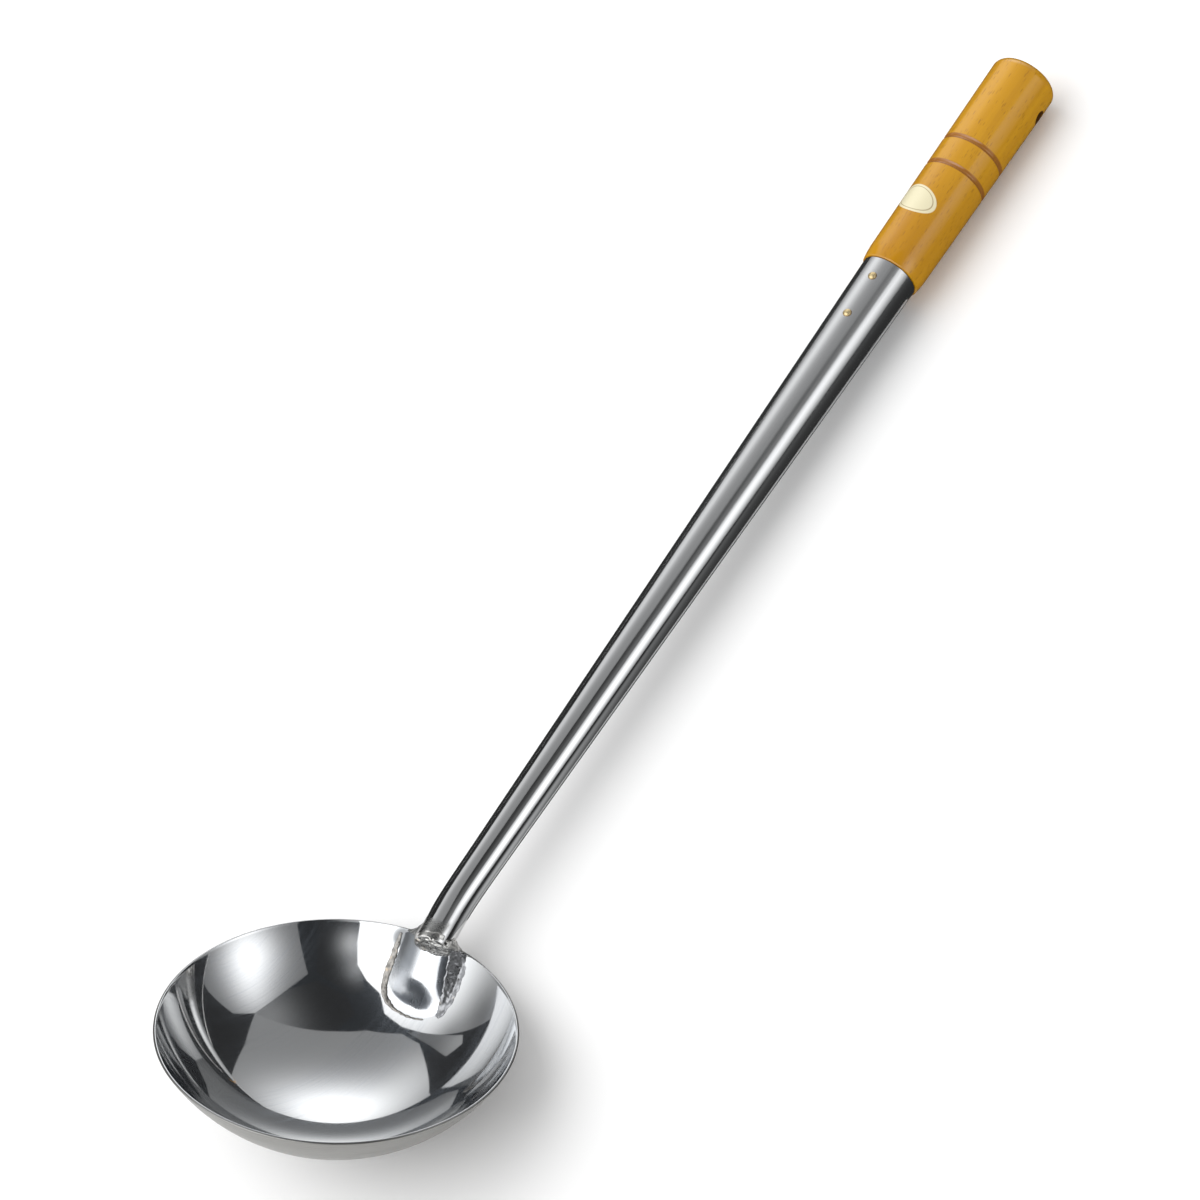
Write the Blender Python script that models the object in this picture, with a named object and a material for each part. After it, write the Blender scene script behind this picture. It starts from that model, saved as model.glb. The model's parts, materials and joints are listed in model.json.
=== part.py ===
"""Wok ladle: a pressed stainless bowl on a tapered tube handle with a turned wooden grip.

The ladle lies as it does on a table, on the underside of the bowl and on the end of the grip.
+X runs along the handle from the bowl to the grip and +Z is up. The pieces are first set out in
the bowl's own frame, with the rim in the plane z = 0 and the handle rising towards +X. The tube,
the grip and the nails are turned about the handle's axis, with their local +Z along it.
"""
import math

import bmesh
import bpy
from mathutils import Matrix, Vector

# Driving dimensions, in metres
BOWL_DIAMETER = 0.115        # outside, across the rim
BOWL_DEPTH = 0.0335          # outside, from the rim plane to the bottom
BOWL_WALL = 0.001
HANDLE_RISE = math.radians(24.0)     # of the handle above the rim plane

SHAFT_LENGTH = 0.2851
SHAFT_REACH = 0.0078         # of the tube's upper side in over the rim
SHAFT_WALL = 0.0008
NECK_DIAMETER = 0.0119       # parallel lower stretch of the tube
NECK_LENGTH = 0.0273
NECK_BLEND = 0.012           # half length of the bend from the neck into the taper
MOUTH_DIAMETER = 0.0195      # upper end of the tube, which takes the grip

LUG_LENGTH = 0.0262          # down the bowl's inner wall, from the rim
LUG_LEFT_WIDTH = 0.0114      # from the middle to the edge, on the +Y side
LUG_RIGHT_WIDTH = 0.0096
LUG_SHEET = 0.0011
LUG_CROWN = 0.0062           # of the lug's upper side over the wall, where it meets the tube
LUG_FALL = 0.8               # share of the crown that is gone when the lower end rounds off
LUG_SQUARENESS = 2.4         # of the arch and of the lower end: 2 is round, more is squarer
LUG_HOLLOWNESS = 1.4         # of the flanks: 1 is a plain arch, more ends in hollow feet
LUG_ROUND_LENGTH = 0.0100    # of the rounded lower end
LUG_TOP_RUN = 0.0006         # the shoulders stop just below the rim
LUG_LAST_TURN = math.radians(80.0)       # round the lower end, where the tip is cut off square

NECK_WELD_THICKNESS = 0.0024     # on the lug, at its foot
NECK_WELD_LIP = 0.4              # thickness at the tube's upper edge, as a share of that
NECK_WELD_SPREAD = 0.96          # share of the tube's width that is filled
RIM_WELD_DIAMETER = 0.0018
RIM_WELD_SPREAD = math.radians(38.0)     # either side of the underside of the tube
LEFT_WELD_DIAMETER = 0.0022
RIGHT_WELD_DIAMETER = 0.0030
SIDE_WELD_START = 0.0035     # down the wall from the rim
LEFT_WELD_END = 0.0215
RIGHT_WELD_END = 0.0220
WELD_RIPPLE_PITCH = 0.0022
WELD_RIPPLE = 0.08           # share of the bead's radius
WELD_TIP = 0.55              # radius of a bead's two tips, as a share of its own

GRIP_LENGTH = 0.0893         # the part that shows
GRIP_SHOULDER_RISE = 0.0005  # of the grip over the tube, at the joint
GRIP_SWELL = 0.0005          # from the joint to full size
GRIP_SWELL_LENGTH = 0.006
GRIP_END_DIAMETER = 0.0231
GRIP_END_ROUND = 0.0035
TENON_LENGTH = 0.048
TENON_CHAMFER = 0.0015
GROOVE_PLACES = (0.0417, 0.0529)     # from the joint
GROOVE_WIDTH = 0.0019
GROOVE_DEPTH = 0.0005
HANG_HOLE_DIAMETER = 0.005
HANG_HOLE_INSET = 0.0115     # from the end of the grip
HANG_HOLE_TURN = math.radians(104.0)     # round the grip from the line of nails

NAIL_PLACES = {"nail_upper": 0.0072, "nail_lower": 0.0233}    # below the mouth of the tube
NAIL_HEAD_DIAMETER = 0.0028
NAIL_HEAD_HEIGHT = 0.0008
NAIL_SHANK_DIAMETER = 0.0014
NAIL_LENGTH = 0.0115
NAIL_POINT = 0.0025

# Clearances between pieces
SEAT_GAP = 0.0003
NAIL_HOLE_GAP = 0.0003

# Fineness of the round surfaces
BOWL_SEGMENTS = 72
BOWL_RINGS = 13
HANDLE_SEGMENTS = 48
NAIL_SEGMENTS = 20
BEAD_SIDES = 8
BEAD_STEPS = 22
LUG_STRAIGHT_STEPS = 8
LUG_ROUND_STEPS = 9
LUG_SIDE_STEPS = 12
NECK_WELD_STEPS = 24
NECK_WELD_ROWS = 5
ARC_STEPS = 6
SHARP_EDGE = math.radians(35.0)
MERGE_DISTANCE = 1e-7

# Sizes that follow from these
RIM_RADIUS = BOWL_DIAMETER / 2
BOWL_RADIUS = (RIM_RADIUS**2 + BOWL_DEPTH**2) / (2 * BOWL_DEPTH)
INNER_RADIUS = BOWL_RADIUS - BOWL_WALL
BOWL_CENTRE = Vector((0, 0, BOWL_RADIUS - BOWL_DEPTH))
OUTER_RIM_ANGLE = math.acos(BOWL_CENTRE.z / BOWL_RADIUS)
INNER_RIM_ANGLE = math.acos(BOWL_CENTRE.z / INNER_RADIUS)
INNER_RIM_RADIUS = INNER_RADIUS * math.sin(INNER_RIM_ANGLE)

NECK_RADIUS = NECK_DIAMETER / 2
MOUTH_RADIUS = MOUTH_DIAMETER / 2
ALONG = Vector((math.cos(HANDLE_RISE), 0, math.sin(HANDLE_RISE)))
UNDER = Vector((math.sin(HANDLE_RISE), 0, -math.cos(HANDLE_RISE)))
ACROSS = Vector((0, 1, 0))
AXIS_OVER_RIM = (NECK_RADIUS + SEAT_GAP) / math.cos(HANDLE_RISE)
SHAFT_START = Vector((INNER_RIM_RADIUS, 0, AXIS_OVER_RIM)) - ALONG * SHAFT_REACH
GRIP_END_RADIUS = GRIP_END_DIAMETER / 2
GRIP_TOP = SHAFT_LENGTH + SEAT_GAP + GRIP_LENGTH


def steel(name, colour, roughness):
    return material(name, colour, roughness, 1.0)


def weld_steel(name):
    return steel(name + "_steel", (0.42, 0.41, 0.39), 0.45)


def material(name, colour, roughness, metallic):
    made = bpy.data.materials.new(name)
    made.use_nodes = True
    shader = made.node_tree.nodes["Principled BSDF"]
    shader.inputs["Base Color"].default_value = (*colour, 1)
    shader.inputs["Roughness"].default_value = roughness
    shader.inputs["Metallic"].default_value = metallic
    made.diffuse_color = (*colour, 1)
    return made


def add_piece(name, bm, finish, parent):
    """Close the mesh, turn its faces outwards and put it in the scene under its parent."""
    bmesh.ops.remove_doubles(bm, verts=bm.verts, dist=MERGE_DISTANCE)
    bmesh.ops.recalc_face_normals(bm, faces=bm.faces)
    mesh = bpy.data.meshes.new(name)
    bm.to_mesh(mesh)
    bm.free()
    mesh.materials.append(finish)
    mesh.shade_smooth()
    mesh.set_sharp_from_angle(angle=SHARP_EDGE)
    piece = bpy.data.objects.new(name, mesh)
    bpy.context.collection.objects.link(piece)
    piece.parent = parent
    return piece


def turned(outline, segments):
    """Turn an outline of (radius, height) points about Z. A closed outline gives a ring or tube."""
    bm = bmesh.new()
    points = [bm.verts.new((radius, 0, height)) for radius, height in outline]
    edges = [bm.edges.new(pair) for pair in zip(points, points[1:])]
    if outline[0][0] > 0:
        edges.append(bm.edges.new((points[-1], points[0])))
    bmesh.ops.spin(bm, geom=points + edges, axis=(0, 0, 1), cent=(0, 0, 0),
                   angle=2 * math.pi, steps=segments, use_merge=True)
    return bm


def arc(centre, radius, start, end, steps=ARC_STEPS):
    """Points on an arc, with angles from the outline's radius axis towards its height axis."""
    turn = (end - start) / steps
    angles = [start + turn * step for step in range(steps + 1)]
    return [(centre[0] + radius * math.cos(a), centre[1] + radius * math.sin(a)) for a in angles]


def drill(piece, name, diameter, length, place):
    """Cut a round hole along the local Z of its place."""
    bm = bmesh.new()
    bmesh.ops.create_cone(bm, cap_ends=True, segments=NAIL_SEGMENTS, radius1=diameter / 2,
                          radius2=diameter / 2, depth=length)
    mesh = bpy.data.meshes.new(name)
    bm.to_mesh(mesh)
    bm.free()
    cutter = bpy.data.objects.new(name, mesh)
    bpy.context.collection.objects.link(cutter)
    cutter.parent = piece.parent
    cutter.matrix_local = place
    cutter.hide_render = True
    cutter.display_type = "WIRE"
    hole = piece.modifiers.new(name, "BOOLEAN")
    hole.operation = "DIFFERENCE"
    hole.solver = "EXACT"
    hole.object = cutter


def wall_point(run, across, height):
    """A point over the bowl's inner wall: down it from the rim, across it, and above it."""
    reach = INNER_RADIUS - height
    down_angle = INNER_RIM_ANGLE - run / INNER_RADIUS
    level = reach * math.sin(down_angle)
    side_angle = across / level
    return BOWL_CENTRE + Vector((level * math.cos(side_angle), level * math.sin(side_angle),
                                 -reach * math.cos(down_angle)))


def run_and_height(point):
    """The place of a point of the middle plane over the bowl's inner wall."""
    reach = point - BOWL_CENTRE
    down_angle = math.atan2(reach.x, -reach.z)
    return (INNER_RIM_ANGLE - down_angle) * INNER_RADIUS, INNER_RADIUS - reach.length


def shaft_radius(height):
    """Outside radius of the tube: a parallel neck that bends smoothly into a straight taper."""
    slope = (MOUTH_RADIUS - NECK_RADIUS) / (SHAFT_LENGTH - NECK_LENGTH)
    past = height - NECK_LENGTH
    if past <= -NECK_BLEND:
        return NECK_RADIUS
    if past >= NECK_BLEND:
        return NECK_RADIUS + slope * past
    return NECK_RADIUS + slope * (past + NECK_BLEND)**2 / (4 * NECK_BLEND)


def make_bowl(parent):
    """A shallow cap of a sphere, pressed from sheet, with its rim trimmed flat."""
    outer = [OUTER_RIM_ANGLE * ring / BOWL_RINGS for ring in range(BOWL_RINGS + 1)]
    inner = [INNER_RIM_ANGLE * ring / BOWL_RINGS for ring in range(BOWL_RINGS, -1, -1)]
    outline = [(BOWL_RADIUS * math.sin(a), BOWL_CENTRE.z - BOWL_RADIUS * math.cos(a)) for a in outer]
    outline += [(INNER_RADIUS * math.sin(a), BOWL_CENTRE.z - INNER_RADIUS * math.cos(a)) for a in inner]
    finish = steel("polished_bowl_steel", (0.62, 0.62, 0.61), 0.12)
    return add_piece("bowl", turned(outline, BOWL_SEGMENTS), finish, parent)


def make_shaft(handle):
    """The tube, rolled to a taper, cut aslant to sit on the rim, with a hole for each nail."""
    blend = [NECK_LENGTH + NECK_BLEND * (2 * step / ARC_STEPS - 1) for step in range(ARC_STEPS + 1)]
    heights = [0, *blend, SHAFT_LENGTH]
    outside = [(shaft_radius(height), height) for height in heights]
    inside = [(radius - SHAFT_WALL, height) for radius, height in reversed(outside)]
    bm = turned(outside + inside, HANDLE_SEGMENTS)
    cut_end_aslant(bm)
    shaft = add_piece("shaft", bm, steel("polished_tube_steel", (0.60, 0.60, 0.60), 0.16), handle)
    for name in NAIL_PLACES:
        drill(shaft, "shaft_hole_for_" + name, NAIL_SHANK_DIAMETER + 2 * NAIL_HOLE_GAP,
              MOUTH_RADIUS, nail_place(name) @ Matrix.Translation((0, 0, -SHAFT_WALL)))
    return shaft


def neck_slant():
    """Angle of the lug's upper edge to a square cut of the tube, from its crown to the rim below."""
    down_edge = wall_point(LUG_TOP_RUN, 0, 0) - (SHAFT_START - UNDER * NECK_RADIUS)
    return math.atan2(down_edge.dot(ALONG), down_edge.dot(UNDER))


def cut_end_aslant(bm):
    """Trim the tube's lower end along the lug's upper edge, and close the cut wall."""
    up_tube = Vector((-math.sin(neck_slant()), 0, math.cos(neck_slant())))
    crown = Vector((-NECK_RADIUS, 0, 0))
    bmesh.ops.bisect_plane(bm, geom=bm.verts[:] + bm.edges[:] + bm.faces[:],
                           plane_co=crown + up_tube * SEAT_GAP, plane_no=up_tube, clear_inner=True)
    bmesh.ops.bridge_loops(bm, edges=[edge for edge in bm.edges if edge.is_boundary])


def nail_place(name):
    """Under the head of a nail, on the tube's upper side, with local +Z pointing outwards."""
    height = SHAFT_LENGTH - NAIL_PLACES[name]
    outwards = Matrix.Rotation(-math.pi / 2, 4, "Y")
    return Matrix.Translation((-shaft_radius(height) - SEAT_GAP, 0, height)) @ outwards


def make_nail(name, handle):
    """A small brass nail with a low domed head and a pointed shank."""
    head = NAIL_HEAD_DIAMETER / 2
    shank = NAIL_SHANK_DIAMETER / 2
    dome_radius = (head**2 + NAIL_HEAD_HEIGHT**2) / (2 * NAIL_HEAD_HEIGHT)
    dome_spread = math.asin(head / dome_radius)
    dome = arc((0, NAIL_HEAD_HEIGHT - dome_radius), dome_radius, math.pi / 2, math.pi / 2 - dome_spread)
    outline = [(0, NAIL_HEAD_HEIGHT), *dome[1:], (shank, 0), (shank, NAIL_POINT - NAIL_LENGTH),
               (0, -NAIL_LENGTH)]
    finish = material("nail_brass", (0.66, 0.46, 0.15), 0.3, 1.0)
    nail = add_piece(name, turned(outline, NAIL_SEGMENTS), finish, handle)
    nail.matrix_local = nail_place(name)
    return nail


def grip_radius(along):
    """Outside radius of the grip at a distance from the joint, leaving out grooves and end."""
    start = MOUTH_RADIUS + GRIP_SHOULDER_RISE
    swell = GRIP_SWELL * math.sin(math.pi / 2 * min(1, along / GRIP_SWELL_LENGTH))
    flare = GRIP_END_RADIUS - start - GRIP_SWELL
    return start + swell + flare * along / GRIP_LENGTH


def make_grip(handle):
    """Turned from one piece of wood: a tenon that fills the tube's mouth, and a flared grip."""
    joint = SHAFT_LENGTH + SEAT_GAP
    tenon_end = SHAFT_LENGTH - TENON_LENGTH
    tenon_radius = shaft_radius(tenon_end) - SHAFT_WALL - SEAT_GAP
    outline = [(0, tenon_end), (tenon_radius - TENON_CHAMFER, tenon_end),
               (tenon_radius, tenon_end + TENON_CHAMFER),
               (MOUTH_RADIUS - SHAFT_WALL - SEAT_GAP, joint)]
    swell = [GRIP_SWELL_LENGTH * step / ARC_STEPS for step in range(ARC_STEPS + 1)]
    outline += [(grip_radius(along), joint + along) for along in swell]
    for place in GROOVE_PLACES:
        outline += groove(joint, place)
    end_centre = (GRIP_END_RADIUS - GRIP_END_ROUND, GRIP_TOP - GRIP_END_ROUND)
    outline += [*arc(end_centre, GRIP_END_ROUND, 0, math.pi / 2), (0, GRIP_TOP)]
    finish = material("lacquered_beech", (0.52, 0.25, 0.03), 0.35, 0.0)
    grip = add_piece("grip", turned(outline, HANDLE_SEGMENTS), finish, handle)
    for name in NAIL_PLACES:
        pilot_length = 2 * (NAIL_LENGTH + NAIL_HOLE_GAP)
        drill(grip, "pilot_for_" + name, NAIL_SHANK_DIAMETER + 2 * NAIL_HOLE_GAP, pilot_length,
              nail_place(name))
    across = Matrix.Rotation(HANG_HOLE_TURN, 4, "Z") @ Matrix.Rotation(math.pi / 2, 4, "Y")
    drill(grip, "hanging_hole", HANG_HOLE_DIAMETER, 2 * GRIP_END_DIAMETER,
          Matrix.Translation((0, 0, GRIP_TOP - HANG_HOLE_INSET)) @ across)
    return grip


def groove(joint, place):
    """A shallow round-bottomed line burnt round the grip."""
    steps = [2 * step / ARC_STEPS - 1 for step in range(ARC_STEPS + 1)]
    return [(grip_radius(place + GROOVE_WIDTH / 2 * step) - GROOVE_DEPTH * (1 - step**2),
             joint + place + GROOVE_WIDTH / 2 * step) for step in steps]


def neck_top():
    """Run and height over the bowl's wall of the tube's lower end, at its upper side."""
    return run_and_height(SHAFT_START - UNDER * NECK_RADIUS)


def lug_lean():
    """How far the lug's upper edge leans back towards the tube, for its height over the wall."""
    top_run, top_height = neck_top()
    return (top_run - LUG_TOP_RUN) / top_height


def lug_narrowing(run):
    """1 down to the rounded lower end of the lug, and from there to 0 at its tip."""
    past = max(0, run - LUG_LENGTH + LUG_ROUND_LENGTH) / LUG_ROUND_LENGTH
    return 1 - min(1, past)**LUG_SQUARENESS


def lug_half_width(run, side):
    """Half width of the lug on its left side (+1) or its right side (-1)."""
    half = LUG_LEFT_WIDTH if side > 0 else LUG_RIGHT_WIDTH
    return half * lug_narrowing(run)**(1 / LUG_SQUARENESS)


def lug_height(run, share):
    """Height of the lug's upper side over its feet, at a share of its half width from the middle."""
    down = (run - LUG_TOP_RUN) / (LUG_LENGTH - LUG_TOP_RUN)
    crown = (LUG_CROWN - SEAT_GAP - LUG_SHEET) * (1 - LUG_FALL * down**2)
    return crown * (lug_narrowing(run) * (1 - abs(share)**LUG_SQUARENESS))**LUG_HOLLOWNESS


def lug_section(foot_run):
    """Upper and lower curves across the lug, from its right foot over the crown to its left foot.

    The curves hold (run, across, height) places over the bowl's inner wall. The section leans back
    with the tube's cut end at the top, and stands square on the wall at the lower end.
    """
    down = (foot_run - LUG_TOP_RUN) / (LUG_LENGTH - LUG_TOP_RUN)
    lean = lug_lean() * (1 - down)
    curves = []
    for sink in (0, LUG_SHEET):
        curve = []
        for step in range(-LUG_SIDE_STEPS, LUG_SIDE_STEPS + 1):
            share = step / LUG_SIDE_STEPS
            height = SEAT_GAP + LUG_SHEET + lug_height(foot_run, share) - sink
            curve.append((foot_run + lean * height, share * lug_half_width(foot_run, share), height))
        curves.append(curve)
    return curves


def lug_runs():
    """Where the sections of the lug start at its feet, closer together round the lower end."""
    round_start = LUG_LENGTH - LUG_ROUND_LENGTH
    pitch = (round_start - LUG_TOP_RUN) / LUG_STRAIGHT_STEPS
    straight = [LUG_TOP_RUN + pitch * step for step in range(LUG_STRAIGHT_STEPS)]
    turns = [LUG_LAST_TURN * step / LUG_ROUND_STEPS for step in range(LUG_ROUND_STEPS + 1)]
    return straight + [round_start + LUG_ROUND_LENGTH * math.sin(turn) for turn in turns]


def join_rings(bm, rings):
    """Skin a row of flat rings, each going out along one side and back along the other."""
    count = len(rings[0])
    for ring, following in zip(rings, rings[1:]):
        for index in range(count):
            after = (index + 1) % count
            bm.faces.new((ring[index], ring[after], following[after], following[index]))
    half = count // 2
    for ring in (rings[0], rings[-1]):
        for index in range(half - 1):
            bm.faces.new((ring[index], ring[index + 1], ring[-index - 2], ring[-index - 1]))


def make_lug(parent):
    """The pressed lug: a low, broad tongue from the tube's end down the bowl's inner wall."""
    bm = bmesh.new()
    rings = []
    for run in lug_runs():
        outer, inner = lug_section(run)
        rings.append([bm.verts.new(wall_point(*place)) for place in outer + inner[::-1]])
    join_rings(bm, rings)
    return add_piece("lug", bm, steel("polished_lug_steel", (0.61, 0.61, 0.60), 0.15), parent)


def make_bead(name, path, diameter, parent):
    """A weld bead: a rippled round bar along a path, drawn in at both ends."""
    bm = bmesh.new()
    rings = []
    travelled = 0
    for index, point in enumerate(path):
        before = path[max(index - 1, 0)]
        after = path[min(index + 1, len(path) - 1)]
        ahead = (after - before).normalized()
        side = ahead.orthogonal().normalized()
        if rings:
            side = (last_side - ahead * last_side.dot(ahead)).normalized()
            travelled += (point - before).length
        last_side = side
        ripple = 1 - WELD_RIPPLE * (1 + math.sin(2 * math.pi * travelled / WELD_RIPPLE_PITCH))
        end = WELD_TIP if index in (0, len(path) - 1) else 1
        radius = diameter / 2 * ripple * end
        turns = [2 * math.pi * side_index / BEAD_SIDES for side_index in range(BEAD_SIDES)]
        rings.append([bm.verts.new(point + radius * (math.cos(a) * side + math.sin(a) * ahead.cross(side)))
                      for a in turns])
    for ring, following in zip(rings, rings[1:]):
        for index in range(BEAD_SIDES):
            after = (index + 1) % BEAD_SIDES
            bm.faces.new((ring[index], ring[after], following[after], following[index]))
    bm.faces.new(rings[0])
    bm.faces.new(rings[-1])
    return add_piece(name, bm, weld_steel(name), parent)


def sweep(start, end):
    """Even steps from one end of a bead to the other."""
    return [start + (end - start) * step / BEAD_STEPS for step in range(BEAD_STEPS + 1)]


def neck_weld_section(across):
    """Round the fill between the tube's cut end and the lug's crown, at a distance from the middle.

    Its back lies along the cut end of the tube, from the tube's upper side to just over the lug, and
    its front stands off from that down the bowl's wall, thick and rippled.
    """
    top_height = neck_top()[1]
    down_edge = wall_point(LUG_TOP_RUN, 0, 0) - (SHAFT_START - UNDER * NECK_RADIUS)
    upper = NECK_RADIUS - math.sqrt(NECK_RADIUS**2 - across**2)
    half = LUG_LEFT_WIDTH if across > 0 else LUG_RIGHT_WIDTH
    lug_edge = 2 * SEAT_GAP + LUG_SHEET + lug_height(LUG_TOP_RUN, across / half)
    lower = down_edge.dot(UNDER) * (1 - lug_edge / top_height)
    ripple = 1 - WELD_RIPPLE * (1 + math.sin(2 * math.pi * across / WELD_RIPPLE_PITCH))
    down_wall = (wall_point(LUG_TOP_RUN, 0, 0) - wall_point(0, 0, 0)).normalized()
    back = []
    front = []
    for row in range(NECK_WELD_ROWS + 1):
        share = row / NECK_WELD_ROWS
        drop = upper + (lower - upper) * share
        point = SHAFT_START + across * ACROSS + (drop - NECK_RADIUS) * UNDER
        point += ALONG * math.tan(neck_slant()) * drop
        thickness = NECK_WELD_THICKNESS * ripple * (NECK_WELD_LIP + (1 - NECK_WELD_LIP) * math.sqrt(share))
        back.append(point)
        front.append(point + down_wall * thickness)
    return back + front[::-1]


def make_neck_weld(parent):
    """Weld metal that closes the tube's cut end, from its upper edge down to the lug."""
    bm = bmesh.new()
    reach = NECK_WELD_SPREAD * NECK_RADIUS
    places = [reach * (2 * step / NECK_WELD_STEPS - 1) for step in range(NECK_WELD_STEPS + 1)]
    rings = [[bm.verts.new(point) for point in neck_weld_section(across)] for across in places]
    join_rings(bm, rings)
    return add_piece("neck_weld", bm, weld_steel("neck_weld"), parent)


def rim_weld_path():
    """Under the tube, in the corner between it and the outside of the bowl's rim."""
    bead = RIM_WELD_DIAMETER / 2
    distance = NECK_RADIUS + SEAT_GAP + bead
    reach = BOWL_RADIUS + SEAT_GAP + bead
    path = []
    for turn in sweep(-RIM_WELD_SPREAD, RIM_WELD_SPREAD):
        start = SHAFT_START + distance * (math.cos(turn) * UNDER + math.sin(turn) * ACROSS)
        offset = start - BOWL_CENTRE
        along = -offset.dot(ALONG)
        path.append(start + ALONG * (along + math.sqrt(along**2 - offset.length_squared + reach**2)))
    return path


def side_weld_path(diameter, end, side):
    """Down the bowl's inner wall, along one edge of the lug."""
    bead = diameter / 2
    path = []
    for run in sweep(SIDE_WELD_START, end):
        across = lug_half_width(run, side) + SEAT_GAP + bead
        path.append(wall_point(run, side * across, SEAT_GAP + bead))
    return path


def resting_tilt():
    """How far the ladle tips back until the bowl's underside and the grip's end share one table."""
    end_round = ALONG * (GRIP_TOP - GRIP_END_ROUND) + UNDER * (GRIP_END_RADIUS - GRIP_END_ROUND)
    reach = SHAFT_START + end_round - BOWL_CENTRE
    return math.atan2(reach.z, reach.x) + math.asin((BOWL_RADIUS - GRIP_END_ROUND) / reach.length)


def stand_on_table(ladle, pieces):
    """Move the ladle so that the middle of its footprint on the table is the origin."""
    bpy.context.view_layer.update()
    corners = [piece.matrix_world @ vertex.co for piece in pieces for vertex in piece.data.vertices]
    low = Vector([min(corner[axis] for corner in corners) for axis in range(3)])
    high = Vector([max(corner[axis] for corner in corners) for axis in range(3)])
    ladle.location = (-(low.x + high.x) / 2, -(low.y + high.y) / 2, -low.z)


for old in list(bpy.data.objects):
    bpy.data.objects.remove(old)

ladle = bpy.data.objects.new("ladle", None)
bpy.context.collection.objects.link(ladle)
ladle.rotation_euler = (0, resting_tilt(), 0)

handle = bpy.data.objects.new("handle", None)
bpy.context.collection.objects.link(handle)
handle.parent = ladle
handle.location = SHAFT_START
handle.rotation_euler = (0, math.pi / 2 - HANDLE_RISE, 0)

pieces = [
    make_bowl(ladle),
    make_lug(ladle),
    make_shaft(handle),
    make_grip(handle),
    make_neck_weld(ladle),
    make_bead("rim_weld", rim_weld_path(), RIM_WELD_DIAMETER, ladle),
    make_bead("lug_weld_left", side_weld_path(LEFT_WELD_DIAMETER, LEFT_WELD_END, 1),
              LEFT_WELD_DIAMETER, ladle),
    make_bead("lug_weld_right", side_weld_path(RIGHT_WELD_DIAMETER, RIGHT_WELD_END, -1),
              RIGHT_WELD_DIAMETER, ladle),
]
pieces += [make_nail(name, handle) for name in NAIL_PLACES]
stand_on_table(ladle, pieces)
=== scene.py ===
import json
import math
import random

import bpy
from mathutils import Euler, Matrix, Vector


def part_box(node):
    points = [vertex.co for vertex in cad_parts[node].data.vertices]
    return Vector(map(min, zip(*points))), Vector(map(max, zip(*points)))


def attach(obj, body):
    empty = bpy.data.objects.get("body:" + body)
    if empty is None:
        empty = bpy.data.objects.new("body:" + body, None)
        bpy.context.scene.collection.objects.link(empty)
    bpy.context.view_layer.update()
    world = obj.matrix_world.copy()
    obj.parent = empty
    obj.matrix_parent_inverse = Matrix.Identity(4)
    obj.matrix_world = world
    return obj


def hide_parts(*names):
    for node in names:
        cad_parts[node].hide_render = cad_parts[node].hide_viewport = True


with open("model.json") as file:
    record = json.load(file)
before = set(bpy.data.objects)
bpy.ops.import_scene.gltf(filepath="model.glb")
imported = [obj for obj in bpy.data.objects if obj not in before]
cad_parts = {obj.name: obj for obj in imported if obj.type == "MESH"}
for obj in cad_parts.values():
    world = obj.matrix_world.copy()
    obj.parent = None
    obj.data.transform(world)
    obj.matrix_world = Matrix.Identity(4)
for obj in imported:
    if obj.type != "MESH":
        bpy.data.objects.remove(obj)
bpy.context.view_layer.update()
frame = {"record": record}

# The bowl: a shallow dish pressed from one millimetre stainless sheet, a plain cap of a sphere.
# Its rim is trimmed flat and dressed. The inside is buffed to a mirror in long arcs, and the
# outside keeps the fine satin rings of the lathe.
BOWL_DEPTH = 0.0335
BOWL_WALL = 0.001
RIM_DRESSING = 0.00022
HANDLE_RISE = math.radians(24.0)
BOWL_SEGMENTS = 192
BOWL_RINGS = 220

grip_end = next(mount for mount in frame["record"]["mounts"] if mount["name"] == "grip_end")
handle_axis = Vector(grip_end["axis"]).normalized()
bowl_low, bowl_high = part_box("bowl")
rim_radius = (bowl_high.y - bowl_low.y) / 2
tilt = HANDLE_RISE - math.asin(handle_axis.z)
rim_centre = Vector((bowl_low.x + rim_radius * math.cos(tilt), 0, bowl_high.z - rim_radius * math.sin(tilt)))
bowl_place = Matrix.Translation(rim_centre) @ Matrix.Rotation(tilt, 4, "Y")
sphere_radius = (rim_radius**2 + BOWL_DEPTH**2) / (2 * BOWL_DEPTH)
sphere_centre = Vector((0, 0, sphere_radius - BOWL_DEPTH))


def clear_selection():
    bpy.ops.object.select_all(action="DESELECT")


def apply_modifier(piece, kind, **settings):
    """Add a modifier to the active piece, set it and apply it."""
    modifier = piece.modifiers.new(kind.lower(), kind)
    for setting, value in settings.items():
        setattr(modifier, setting, value)
    bpy.ops.object.modifier_apply(modifier=modifier.name)


def put_in_place(piece, place):
    """Carry the mesh to its place in the ladle and leave the object at the origin, unturned."""
    bpy.ops.object.transform_apply(location=True, rotation=True, scale=True)
    piece.matrix_world = place
    bpy.ops.object.transform_apply(location=True, rotation=True, scale=True)


def hand_over(piece, node, finish):
    """Name the piece, give it its finish and let it stand for its solid."""
    piece.name = "ladle_" + node
    piece.data.name = piece.name
    piece.data.materials.clear()
    piece.data.materials.append(finish)
    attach(piece, "root")
    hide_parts(node)


def wire(tree, kind, sockets=None, **settings):
    """Add a shader node. Each socket takes a plain value or another node's output."""
    made = tree.nodes.new("ShaderNode" + kind)
    for setting, value in settings.items():
        setattr(made, setting, value)
    for socket, value in (sockets or {}).items():
        if isinstance(value, bpy.types.NodeSocket):
            tree.links.new(value, made.inputs[socket])
        else:
            made.inputs[socket].default_value = value
    return made


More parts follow.
